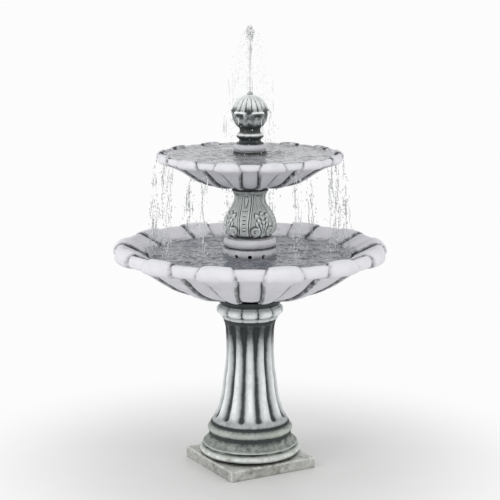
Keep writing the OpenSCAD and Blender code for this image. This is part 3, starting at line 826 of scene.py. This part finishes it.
def baluster_profile():
    h = tall("baluster") - 7.4
    profile = [(50, 0), (70, 0), (72, 3), (73, 8)] + bezier((76, 11), (81, 16), (82, 22), (83, 28))
    profile += bezier((84, 33), (90, 52), (79, 72), (65, 93))
    profile += bezier((55, 107), (48, 118), (46, 131), (51.5, 141))
    return profile + [(58, 148), (61, 151), (61.5, 155), (57, 158), (56.5, h), (45, h)]


def carving(theta, r, z, *_):
    """Straps with pendant drops and ladder marks, and fan leaves between them, in mm outwards"""
    x = wrap(theta - STRAP, QUARTER) * r
    side = np.abs(x)
    along = smooth(6, 16, z) * (1 - smooth(142, 148, z))
    strap = 2.0 * (1 - smooth(12.8, 15.0, side))
    lines = -2.2 * bell(side - 16.2, 1.3) + 1.6 * bell(side - 19.4, 1.7) - 1.5 * bell(side - 22.6, 1.2)
    drop_half = 5.4 * np.sqrt(np.clip(1 - ((z - 121) / 19) ** 2, 0, 1)) * (0.55 + 0.45 * smooth(102, 128, z))
    inside_drop = smooth(0, 1.6, drop_half - side)
    drop = 2.0 * inside_drop - 1.7 * bell(side - drop_half - 1.5, 1.1) * (np.abs(z - 121) < 21)
    notches = sum(bell(np.hypot(x - dx, z - 92), 2.1) for dx in (-6.5, 0, 6.5)) * -2.2
    ladder = sum(bell(z - step, 1.7) for step in (28, 40, 52, 64, 76)) * -2.0 * (1 - smooth(3.5, 6.5, side))
    p = wrap(theta - PANEL, QUARTER) * r
    root = 12
    fan = np.arctan2(p, np.maximum(z - root, 1))
    reach = np.hypot(p, z - root)
    leaf_len = 74 * np.cos(np.clip(fan * 0.95, -1.5, 1.5)) ** 0.5 * (1 + 0.05 * np.cos(fan * 22))
    leaf = smooth(0, 4, leaf_len - reach) * (1 - smooth(24.5, 27, np.abs(p)))
    veins = 1.3 * np.cos(fan * 22) * smooth(8, 24, reach) - 1.2 * bell(p, 1.5)
    curls = 0.7 * np.sin(reach * 0.42 + 2.0 * np.cos(fan * 11)) * smooth(18, 30, reach)
    panel = leaf * (2.2 + veins + curls) - 1.4 * bell(leaf_len + 2.0 - reach, 1.6) * (np.abs(p) < 28)
    tongue = 1.4 * smooth(0, 2, 6.5 - np.abs(p)) * smooth(92, 98, z) * (1 - smooth(134, 140, z))
    on_strap = 1 - smooth(23, 25.5, side)
    return along * 1.35 * (strap + lines + drop + notches + ladder + (1 - on_strap) * (panel + tongue)) - 1.4


def baluster_marks(theta, r, z, _share, hollow):
    # patina and painted shade in the carving's hollows; painted highlights on its raised edges
    wash_and_shade = smooth(0.06, 0.62, hollow)
    edge = smooth(0.2, 0.8, -hollow)
    outer = smooth(38, 44, r)
    p = np.abs(wrap(theta - PANEL, QUARTER)) * r
    eye = np.hypot(p - VOLUTE_OFFSET, z - VOLUTE_Z)
    # painted shade round the scrolls' eyes and outer gaps; painted shadow at the top under the bowl; painted shade
    # at the foot
    scroll_shade = 0.8 * bell(eye - VOLUTE_R - 5.5, 3.2) + 0.85 * bell(eye - 6, 3.5)
    top_shadow = 0.9 * smooth(148, 156, z) + 0.4 * bell(z - 142, 8)
    foot_shade = 0.9 * (1 - smooth(8, 16, z))
    return {"stain_and_shade": outer * (0.95 * wash_and_shade + top_shadow + foot_shade + scroll_shade), "edge": 0.95 * edge * outer}


def surface_radius(profile, z):
    line = np.array([p for p in profile if p[0] > 45])
    return np.interp(z, line[:, 1], line[:, 0])


def scroll(profile, turn, side, z_mid, size, tube, turns, foot_z):
    """A C-scroll that winds in on the surface, as rings of a tube that thins towards its eye"""
    steps, sides = 64, 10
    rings = []
    for i in range(steps + 1):
        t = i / steps
        a = math.radians(250) + t * turns * 2 * math.pi
        radius = size * (1 - t) ** 0.9 + 1.5
        x, z = side * radius * math.cos(a), z_mid + radius * math.sin(a)
        width = tube * (1 - 0.55 * t) * min(1, 0.35 + 5 * t)
        for k in range(sides):
            b = 2 * math.pi * k / sides
            lateral = width * math.cos(b)
            px, pz = x + side * lateral * math.cos(a), z + lateral * math.sin(a)
            r = surface_radius(profile, pz) + 2.6 + 0.95 * width * math.sin(b)
            theta = turn + px / surface_radius(profile, z_mid)
            rings.append(polar(r, theta, foot_z + pz))
    faces = grid_faces(steps + 1, sides, False)
    faces += [tuple(range(sides)), tuple(steps * sides + k for k in reversed(range(sides)))]
    return rings, faces


def volutes():
    profile = baluster_profile()
    solids = []
    for k in range(4):
        for side in (-1, 1):
            turn = PANEL + k * QUARTER + side * VOLUTE_OFFSET / surface_radius(profile, VOLUTE_Z)
            solids.append(scroll(profile, turn, -side, VOLUTE_Z, VOLUTE_R, 4.6, 1.75, foot("baluster")))
        middle = PANEL + k * QUARTER
        solids.append(scroll(profile, middle - math.radians(2.6), 1, 14, 4.2, 2.4, 1.2, foot("baluster")))
    obj = joined("baluster_volutes", solids)
    tidy_mesh(obj)
    count = len(obj.data.vertices)
    # the scrolls are lightened all over: a painted highlight
    set_marks(obj, {"stain_and_shade": np.full(count, 0.08), "edge": np.full(count, 0.45), "wet": np.zeros(count)})
    return obj


def baluster():
    h = tall("baluster")
    closing = [(32, h - 7.4), (32, h), (24, h), (24, 0)]
    return turned_stone("baluster_stone_body", outline(baluster_profile(), 1.15, 1.0), closing,
                        even_angles(460), carving, baluster_marks, foot("baluster"), 0.2, 18)


place(baluster(), "riser", "baluster_stone", baluster_stone, "baluster")
place(volutes(), "riser", "baluster_stone", baluster_stone)


# ---- Finial ----

def base_marks(_theta, _r, z, *_):
    level = Z_TIER_WATER - foot("finial_base")
    low = 1 - smooth(level - 2, level + 6, z)
    # darker below the water where it is wet, and darker above it: painted shade above the water line
    return {"stain_and_shade": 0.75 * low + 0.95 * smooth(level + 1, level + 6, z), "wet": low}


def finial_base():
    h = tall("finial_base")
    profile = [(50, 0), (55, 0), (56, 1), (56, h - 1), (55, h), (50, h)]
    drum = turned_stone("finial_base_stone", outline(profile, 1.5, 0.8), [(40, h), (40, 0)], even_angles(192),
                        marks=base_marks, z=foot("finial_base"), weather=0.2, seed=19)
    slots = []
    base = foot("finial_base")
    for k in range(4):
        turn = math.radians(45 + 90 * k)
        solid, faces = prism([(30, -6), (70, -6), (70, 6), (30, 6)], base - 1, base + 10)
        slots.append((swung(solid, turn), faces))
    carve(drum, slots)
    return drum


def disc_marks(_theta, r, z, *_):
    h = tall("finial_disc")
    # painted shade under the disc's rim and round where the finial stands on it; a painted highlight band round
    # the rim; lightly wet all over
    return {"stain_and_shade": 0.9 * bell(z, 2.5) * (r > 30) + 0.7 * bell(z - h, 2) * smooth(46, 38, r),
            "edge": 0.4 * bell(z - 0.6 * h, 7) * (r > 40), "wet": 0.25 * np.ones_like(r)}


def finial_disc():
    h = tall("finial_disc")
    profile = [(25, 0), (49, 0), (50, 2)] + arc(44, h / 2 + 0.5, 11, -75, 80, 14) + [(41, h), (25, h)]
    return turned_stone("finial_disc_stone", outline(profile, 1.0, 0.7), [(7, h), (7, 0)], even_angles(240),
                        marks=disc_marks, z=foot("finial_disc"), weather=0.2, seed=20)


LEAF = FRONT - math.radians(34)
SIXTH = math.pi / 3
TIP_HALF = 23                     # degrees from a leaf's middle to the end of its curled tip


def elevation(z):
    return np.degrees(np.arcsin(np.clip((z - (Z_BALL - foot("finial"))) / BALL_R, -1, 1)))


def tip_line(az):
    """The elevation of a leaf's curled tip, in degrees"""
    return 3.5 - 2.0 * (az / TIP_HALF) ** 2


def leaf_grooves(theta, rate):
    """1 along the grooves of the leaves, 0 between them"""
    return 1 - np.abs(np.sin(rate * (theta - LEAF)))


def finial_relief(theta, _r, z, *_):
    """Six acanthus leaves: grooved petals above, curled tips at the equator, hollows and veins below"""
    el = elevation(z)
    az = np.degrees(wrap(theta - LEAF, SIXTH))
    ball = smooth(58, 66, z)
    upper = smooth(2, 14, el) * (1 - smooth(72, 84, el))
    petals = -3.2 * leaf_grooves(theta, 9) ** 1.3 - 2.2 * bell(np.abs(az) - 30, 3)
    across = 1 - smooth(TIP_HALF - 3, TIP_HALF, np.abs(az))
    tip_z = tip_line(az)
    lip = 5.2 * np.where(el > tip_z, bell(el - tip_z, 9), bell(el - tip_z, 2.8)) * across
    hollow = -4.2 * bell(el + 7, 5.5) * (1 - smooth(8, 15, np.abs(az)))
    lower = (1 - smooth(-6, 0, el)) * smooth(-56, -44, el)
    veins = (-1.5 * leaf_grooves(theta, 6) ** 2 - 1.8 * bell(np.abs(az) - 30, 3)) * lower
    return ball * (upper * petals + lip + hollow + veins - 0.8)


def finial_marks(theta, r, z, _share, hollow):
    el = elevation(z)
    az = np.degrees(wrap(theta - LEAF, SIXTH))
    ball = smooth(56, 64, z)
    tip_z = tip_line(az)
    spots = waves(around_axis(theta, r, z), 16, 61)
    # painted shade: the lower half below the curled tips darker, most in the hollow under each tip
    below = 1 - smooth(-1.5, 1.5, el - tip_z + 1)
    eye = bell(el + 7, 6) * (1 - smooth(9, 16, np.abs(az)))
    lower = below * (0.60 + 0.07 * spots - 0.14 * bell(el + 26, 9) + 0.3 * eye
                     + 0.25 * (1 - smooth(-44, -30, el)))
    # patina and painted shade in the petal grooves and between the leaves; the upper half darker near the equator
    grooves = smooth(0.1, 0.8, hollow)
    between = 0.6 * bell(np.abs(az) - 30, 6) * bell(el - 6, 14)
    belt = 0.45 * (1 - smooth(4, 30, el))
    gaps = 0.85 * leaf_grooves(theta, 9) ** 2.2 * (1 - smooth(50, 78, el))
    upper = (1 - below) * (0.5 * grooves * (1 - smooth(58, 80, el)) + gaps + between + belt + 0.08)
    # painted shade: the stem dark under the ball, with a lighter ring
    stem = 0.97 - 0.85 * bell(z - 31, 3.6) + 0.05 * spots
    # painted highlights on the curled tips, on the petals' crowns towards the top and on the stem's ring
    tips = bell(el - tip_z - 1.0, 2.6) * (1 - smooth(TIP_HALF - 3, TIP_HALF, np.abs(az)))
    crown_highlight = (1 - below) * smooth(14, 40, el) * (1 - grooves) * 0.4
    return {"stain_and_shade": ball * (lower + upper - 0.9 * tips) + (1 - ball) * stem,
            "edge": ball * np.maximum(tips, crown_highlight) + (1 - ball) * 0.6 * bell(z - 31, 3.5)}


def finial():
    ball_z = Z_BALL - foot("finial")
    profile = [(20, 0), (45, 0), (43, 3)] + bezier((38, 5), (34, 8), (33, 13), (38, 17))
    profile += arc(36, 26, 8.6, -75, 75, 12) + bezier((37, 35), (33, 38), (33, 45), (36, 53))
    profile += arc(0, ball_z, BALL_R, -52, 80, 60)
    return turned_stone("finial_stone_body", outline(profile, 1.05, 0.7), [(7, ball_z + 59), (7, 0)],
                        even_angles(400), finial_relief, finial_marks, foot("finial"), 0.18, 22)


place(finial_base(), "finial", "finial_stone", finial_stone, "finial_base")
place(finial_disc(), "finial", "riser_stone", riser_stone, "finial_disc")
place(finial(), "finial", "finial_stone", finial_stone, "finial")

# ---- Water ----

pool_water = water_material("pool_water", (0.25, 0.27, 0.31), 0.42, (24, 24, 60), 0.002)
tier_water = water_material("tier_water", (0.54, 0.55, 0.58), 0.5, (24, 24, 60), 0.002)
air_water = water_material("air_water", (0.94, 0.96, 0.97), 0.45, (80, 80, 30), 0.001)
jet_white = water_material("jet_white", (0.98, 0.985, 0.99), 0.12, (80, 80, 30), 0.001)


def pool(name, wall, level, r_inner, height, seed, hits):
    """Standing water: a rippled top over a body that meets the bowl's inside"""
    around, rings = 420, 130
    r_edge = wall[0][0]
    radii = np.linspace(r_inner, r_edge, rings)
    theta = even_angles(around)
    flat = around_axis(theta, radii[:, None], 0)
    x, y = flat[..., 0], flat[..., 1]
    z = height * (0.8 * waves(flat, 60, seed) + 0.42 * waves(flat, 27, seed + 1, 24))
    z += height * 1.1 * np.sin((radii[:, None] - r_inner) / 5.5) * bell(radii[:, None] - r_inner, 34)
    for hit_x, hit_y, size in hits:
        away = np.hypot(x - hit_x, y - hit_y)
        z += size * np.cos(away / 2.6) * bell(away, 20)
    z *= (1 - smooth(r_edge - 5, r_edge, radii))[:, None]
    z = np.clip(z, -4, 3.5) + level
    walls = wall[1:] + [(r_inner, wall[-1][1])]
    below = [around_axis(theta, r_wall, z_wall)[None] for r_wall, z_wall in walls]
    grid = np.concatenate([around_axis(theta, radii[:, None], z)] + below)
    obj = new_object(name, grid.reshape(-1, 3), grid_faces(len(grid), around, True))
    tidy_mesh(obj)
    return obj


FALL_START_R = 303
LANDING_R = 326
POOL_R = 334.5
falls = [FRONT + k * 2 * math.pi / LOBES for k in range(LOBES)]


def lower_pool():
    level = Z_WATER - 1.2
    z = foot("lower_bowl")
    wall = [(POOL_R, level), (317.5, z + 122), (287.5, z + 98), (238.5, z + 76), (175.5, z + 57),
            (130, z + 49)]
    rng = np.random.default_rng(71)
    hits = [((LANDING_R - 8 + rng.uniform(-10, 6)) * math.cos(a + rng.uniform(-0.06, 0.06)),
             (LANDING_R - 8 + rng.uniform(-10, 6)) * math.sin(a + rng.uniform(-0.06, 0.06)), 2.2)
            for a in falls for _ in range(2)]
    hits += [(rng.uniform(110, 290) * math.cos(a), rng.uniform(110, 290) * math.sin(a), 1.5)
             for a in rng.uniform(0, 2 * math.pi, 16)]
    return pool("lower_pool", wall, level, 88.5, 1.5, 72, hits)


def upper_pool():
    level = Z_TIER_WATER - 0.8
    z = Z_TIER
    wall = [(275, level), (262.5, z + 93), (234.5, z + 78), (179.5, z + 56), (112, z + 37), (96, z + 35.5)]
    rng = np.random.default_rng(73)
    hits = [(rng.uniform(62, 120) * math.cos(a), rng.uniform(62, 120) * math.sin(a), 1.4)
            for a in rng.uniform(0, 2 * math.pi, 22)]
    return pool("upper_pool", wall, level, 55.6, 1.2, 74, hits)


place(lower_pool(), "lower_basin", "water", pool_water, "lower_water")
place(upper_pool(), "upper_tier", "water", tier_water, "upper_water")


class Spray:
    """Drops and broken strands of water, gathered into one mesh"""

    def __init__(self, seed):
        self.rng = np.random.default_rng(seed)
        self.vertices, self.faces, self.count = [], [], 0

    def add(self, points, faces):
        self.vertices.append(points)
        self.faces += [tuple(self.count + i for i in face) for face in faces]
        self.count += len(points)

    def drop(self, middle, size, stretch=1.0, lean=(0, 0, 1)):
        """A drop of the given radius, drawn out along its path"""
        axis = Vector(lean).normalized()
        side = axis.cross(Vector((0.31, 0.95, 0.11))).normalized()
        middle, axis, side, other = (np.array(v) for v in (middle, axis, side, axis.cross(side)))
        rings, sides = 5, 7
        points, faces = [], []
        for i in range(1, rings):
            a = math.pi * i / rings
            for k in range(sides):
                b = 2 * math.pi * k / sides
                points.append(middle + size * (axis * math.cos(a) * stretch
                                               + math.sin(a) * (side * math.cos(b) + other * math.sin(b))))
        points += [middle + way * size * stretch * axis for way in (1, -1)]
        up, down = len(points) - 2, len(points) - 1
        for i in range(rings - 2):
            for k in range(sides):
                n = (k + 1) % sides
                faces.append((i * sides + k, (i + 1) * sides + k, (i + 1) * sides + n, i * sides + n))
        for k in range(sides):
            n = (k + 1) % sides
            faces += [(up, k, n), (down, (rings - 2) * sides + n, (rings - 2) * sides + k)]
        self.add(points, faces)

    def strand(self, path, widths):
        """A thread of water along a path, with a closed, tapering end at each side"""
        sides = 6
        path = np.array(path)
        tangent = np.gradient(path, axis=0)
        tangent /= np.linalg.norm(tangent, axis=1, keepdims=True)
        side = np.cross(tangent, (0.0, 0.0, 1.0)) + np.array((1e-3, 2e-3, 0))
        side = np.where(np.linalg.norm(side, axis=1, keepdims=True) < 0.05, np.array((1.0, 0, 0)), side)
        side /= np.linalg.norm(side, axis=1, keepdims=True)
        other = np.cross(tangent, side)
        points = [p + w * (s * math.cos(b) + o * math.sin(b))
                  for p, w, s, o in zip(path, widths, side, other)
                  for b in np.linspace(0, 2 * math.pi, sides, endpoint=False)]
        faces = grid_faces(len(path), sides, False)
        faces += [tuple(reversed(range(sides))), tuple((len(path) - 1) * sides + k for k in range(sides))]
        self.add(points, faces)

    def build(self, name):
        obj = new_object(name, np.array([p for block in self.vertices for p in block]), self.faces)
        tidy_mesh(obj, 1e-7)
        return obj


def fall_path(reach, t):
    """How far out and how high water from the lip is after falling the share t of its drop"""
    lip_z = Z_TIER + 97
    return FALL_START_R + reach * np.sqrt(t), lip_z - (lip_z - Z_WATER - 2) * t


def falling_water():
    spray = Spray(81)
    rng = spray.rng
    for turn in falls:
        strength = rng.uniform(0.7, 1.25) * (0.03 if turn == FRONT else 1)
        for _ in range(int(17 * strength)):
            start = rng.uniform(0.0, 0.85)
            end = min(start + rng.uniform(0.06, 0.22), 0.985)
            offset = rng.normal(0, 0.026)
            reach = rng.uniform(4, 30)
            swing = rng.uniform(0.001, 0.007)
            phase = rng.uniform(0, 6.28)
            size = rng.uniform(0.5, 1.7)
            t = np.linspace(start, end, 14)
            path = []
            for s in t:
                r, z = fall_path(reach, s)
                r += 2.0 * math.sin(23 * s + phase)
                path.append(polar(r, turn + offset + swing * math.sin(18 * s + phase), z))
            beads = 0.35 + np.sin(np.linspace(0, math.pi, 14)) * (0.8 + 0.5 * np.sin(t * 160 + phase))
            spray.strand(path, np.maximum(size * beads, 0.12))
        for _ in range(int(88 * strength)):
            s = rng.uniform(0.0, 1.0) ** 0.8
            offset = rng.normal(0, 0.020 + 0.026 * s)
            r, z = fall_path(rng.uniform(0, 38), s * 0.985)
            spray.drop(polar(r, turn + offset, z), rng.uniform(0.6, 2.1), rng.uniform(1.0, 2.2))
    return spray.build("falling_spray")


def splashes():
    spray = Spray(83)
    rng = spray.rng
    for turn in falls:
        for _ in range(26):
            a = turn + rng.normal(0, 0.045)
            r = min(LANDING_R - 2 + rng.normal(0, 9), POOL_R - 3.5)
            z = Z_WATER + rng.exponential(7)
            spray.drop(polar(r, a, z), rng.uniform(0.5, 1.5))
    for _ in range(70):
        a, r = rng.uniform(0, 2 * math.pi), rng.uniform(95, 130)
        spray.drop(polar(r, a, Z_WATER + rng.exponential(8)), rng.uniform(0.5, 1.4))
    return spray.build("lower_splashes")


def water_jet():
    """The jet's wavering stem, the plume where it breaks up, and the drops that fall back round the finial"""
    spray = Spray(87)
    rng = spray.rng
    z0, z1 = foot("water_jet") + 1, top("water_jet")
    fall_top, fall_drop = z1 - 20, z1 - 20 - Z_TIER_WATER - 3
    stem = np.linspace(z0, z1 - 46, 40)
    for shift in range(7):
        sway = 1.2 + 5.0 * ((stem - z0) / (z1 - z0)) ** 1.5
        path = [(q * math.sin(z / 11 + 0.9 * shift), q * math.cos(z / 13 + 0.9 * shift), z)
                for q, z in zip(sway, stem)]
        widths = 1.0 + 0.7 * np.sin(stem / 5.0 + shift) + 0.9 * (stem - z0) / (z1 - z0)
        spray.strand(path, np.maximum(widths, 0.4))
    for _ in range(120):
        z = rng.uniform(z0 + 5, z1 - 40)
        a, q = rng.uniform(0, 2 * math.pi), rng.uniform(3, 11)
        spray.drop(polar(q, a, z), rng.uniform(0.7, 1.9), rng.uniform(1, 2))
    for _ in range(330):
        t = rng.uniform(0, 1)
        spread = 15 * math.sin(math.pi * min(t * 0.85 + 0.12, 1)) ** 0.8
        a, q = rng.uniform(0, 2 * math.pi), spread * math.sqrt(rng.uniform(0, 1))
        size = rng.uniform(1.0, 3.4) * (1 - 0.3 * t)
        spray.drop(polar(q, a, min(z1 - 50 + 48 * t, z1 - 4)), size, rng.uniform(0.8, 1.6),
                   (rng.normal(), rng.normal(), 1.5))
    for _ in range(560):
        t = rng.uniform(0, 1)
        a = rng.uniform(0, 2 * math.pi)
        q = 12 + 84 * math.sqrt(t) * rng.uniform(0.5, 1.08)
        z = fall_top - fall_drop * t ** 1.1
        if math.hypot(q, z - Z_BALL) < BALL_R + 3:
            q = math.sqrt(max((BALL_R + 4) ** 2 - (z - Z_BALL) ** 2, 0)) + rng.uniform(0, 6)
        spray.drop(polar(q, a, z), rng.uniform(0.5, 1.35), rng.uniform(1.0, 2.4))
    for _ in range(34):
        a, t0 = rng.uniform(0, 2 * math.pi), rng.uniform(0.35, 0.8)
        t = np.linspace(t0, t0 + rng.uniform(0.05, 0.16), 9)
        q = 66 + rng.uniform(4, 36) * t
        z = fall_top - fall_drop * t
        path = [polar(qq, a, zz) for qq, zz in zip(q, z)]
        spray.strand(path, 0.25 + 0.75 * np.sin(np.linspace(0.1, math.pi - 0.1, 9)))
    return spray.build("jet_and_drops")


place(falling_water(), "upper_tier", "water", air_water, "falling_water")
place(splashes(), "lower_basin", "water", air_water)
place(water_jet(), "finial", "water", jet_white, "water_jet")

# ---- Pump and plumbing: CAD pieces with fuller materials ----

fittings = {
    "pump_plastic": made_material("pump_plastic", (0.045, 0.048, 0.052), 0.42, grain=900, depth=0.00015),
    "rotor_plastic": made_material("rotor_plastic", (0.50, 0.52, 0.54), 0.3, grain=500, coat=0.2),
    "rubber": made_material("rubber", (0.022, 0.022, 0.023), 0.7, grain=700, wear=0.25),
    "epoxy": made_material("epoxy", (0.016, 0.016, 0.019), 0.12, grain=60, depth=0.0004, coat=0.6),
    "hose_vinyl": made_material("hose_vinyl", (0.80, 0.83, 0.82), 0.12, grain=80, transmission=0.75, ior=1.5),
    "steel": made_material("steel", (0.56, 0.57, 0.58), 0.3, 1.0, stretch=(900, 30, 30), grain=1),
    "copper": made_material("copper", (0.72, 0.36, 0.2), 0.28, 1.0, stretch=(20, 20, 2600), grain=1,
                            depth=0.0004),
    "brass": made_material("brass", (0.36, 0.37, 0.35), 0.55, 0.3, grain=200, wear=0.3),
    "foam": made_material("foam", (0.035, 0.05, 0.065), 0.95, grain=900, depth=0.0012, wear=0.2),
    "ceramic": made_material("ceramic", (0.86, 0.85, 0.80), 0.1, grain=120, coat=0.4),
    "ferrite": made_material("ferrite", (0.05, 0.05, 0.055), 0.4, grain=1200, wear=0.2),
}
slot_of = {part["node"]: part["material_slot"] for part in frame["record"]["subparts"]}
for node, obj in frame["nodes"].items():
    if not obj.hide_render:
        for slot in obj.material_slots:
            slot.material = fittings[slot_of[node]]

# ---- Floor, light and camera ----

ROOM_WHITE = (0.975, 0.975, 0.98, 1)
FLOOR_FADE = (0.3, 1.15)    # metres from the axis over which the floor turns to the white of the room


def floor():
    ring_r = [0, 0.2, 0.4, 0.6, 0.8, 1.0, 1.3, 1.8, 2.6, 4, 7, 12, 20, 40]
    theta = np.linspace(0, 2 * math.pi, 72, endpoint=False)
    grid = np.stack([around_axis(theta, r, 0) for r in ring_r])
    obj = new_object("floor", grid.reshape(-1, 3), grid_faces(len(ring_r), 72, False), 1.0)
    tidy_mesh(obj)
    for polygon in obj.data.polygons:
        if polygon.normal.z < 0:
            polygon.flip()
    s = Shader("floor")
    length = s.node("ShaderNodeVectorMath", operation="LENGTH")
    s.plug(length.inputs[0], s.place)
    far = s.ramp(length.outputs["Value"], *FLOOR_FADE)
    s.set(Base_Color=s.mix(s.ramp(s.noise(3), 0.3, 0.7), (0.655, 0.655, 0.645), (0.675, 0.675, 0.665)),
          Roughness=0.55, Specular_IOR_Level=0.2)
    glow = s.node("ShaderNodeEmission")
    glow.inputs["Color"].default_value = ROOM_WHITE
    blend = s.node("ShaderNodeMixShader")
    s.fill(blend, {0: far, 1: s.out.outputs[0], 2: glow.outputs[0]})
    s.plug(s.tree.nodes["Material Output"].inputs["Surface"], blend.outputs[0])
    obj.data.materials.append(s.material)


floor()

world = bpy.data.worlds.new("room")
world.use_nodes = True
world.node_tree.nodes["Background"].inputs["Color"].default_value = ROOM_WHITE
world.node_tree.nodes["Background"].inputs["Strength"].default_value = 1.0
bpy.context.scene.world = world
bpy.context.scene.view_settings.view_transform = "Standard"

VIEW_AZIMUTH = math.radians(-29.5)
VIEW_DISTANCE, VIEW_HEIGHT, VIEW_PITCH = 5.114, 1.7094, math.radians(10.855)
toward_view = Vector((math.sin(VIEW_AZIMUTH), -math.cos(VIEW_AZIMUTH), 0))
to_right = Vector((math.cos(VIEW_AZIMUTH), math.sin(VIEW_AZIMUTH), 0))


def softbox(name, right, forward, height, size, power, aim_z=0.7):
    light = bpy.data.lights.new(name, "AREA")
    light.shape = "DISK"
    light.size = size
    light.energy = power
    obj = bpy.data.objects.new(name, light)
    obj.location = to_right * right + toward_view * forward + Vector((0, 0, height))
    obj.rotation_euler = (obj.location - Vector((0, 0, aim_z))).to_track_quat("Z", "Y").to_euler()
    bpy.context.scene.collection.objects.link(obj)


softbox("key", -2.6, 1.8, 2.6, 2.0, 30)
softbox("fill", 2.8, 1.6, 2.4, 2.0, 15)

camera_data = bpy.data.cameras.new("camera")
camera_data.lens = 113.8
camera_data.sensor_width = 36
camera = bpy.data.objects.new("camera", camera_data)
camera.location = toward_view * VIEW_DISTANCE + Vector((0, 0, VIEW_HEIGHT))
camera.rotation_euler = (math.pi / 2 - VIEW_PITCH, 0, VIEW_AZIMUTH)
bpy.context.scene.collection.objects.link(camera)
bpy.context.scene.camera = camera
